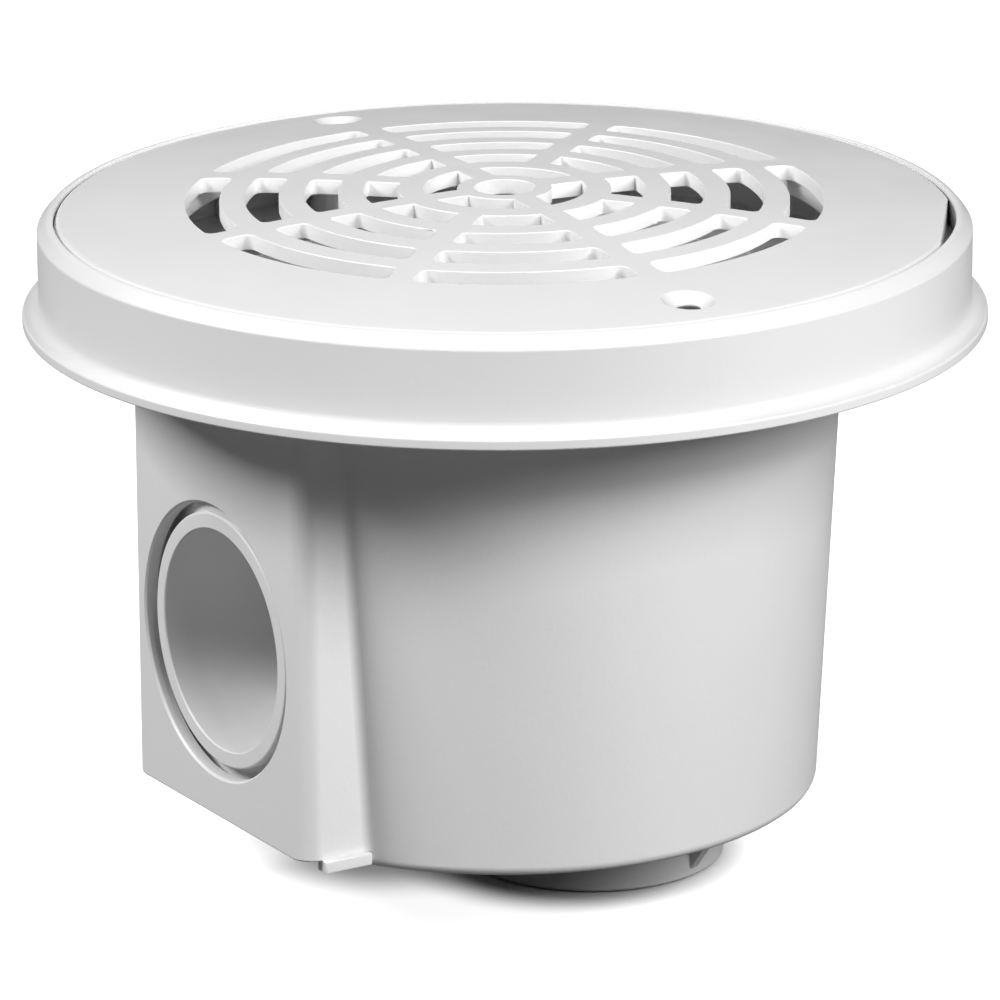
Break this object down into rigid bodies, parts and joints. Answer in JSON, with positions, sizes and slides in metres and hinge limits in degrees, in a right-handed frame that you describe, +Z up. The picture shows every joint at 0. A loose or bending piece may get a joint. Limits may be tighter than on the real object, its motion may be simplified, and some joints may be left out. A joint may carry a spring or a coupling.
{
  "type": "pool main drain",
  "caption": "Round white main drain for a pool floor: sump with a side pipe socket and a threaded bottom port, a flanged collar and a domed slotted grate.",
  "frame": {"origin": "centre of the bounding box's base: on the drain's upright axis, at the bottom port's end face", "axes": "+Z up along the drain's axis, out of the pool floor; the side pipe socket opens towards -X; +Y follows by the right-hand rule"},
  "size_m": [0.2184, 0.2184, 0.1626],
  "materials": {
    "sump_plastic": "satin moulded",
    "collar_plastic": "satin moulded",
    "grate_plastic": "satin moulded",
    "insert_brass": "turned"
  },
  "bodies": {
    "root": {"sump_body": "sump_plastic", "collar_ring": "collar_plastic", "grate": "grate_plastic", "screw_inserts": "insert_brass"}
  },
  "joints": []
}
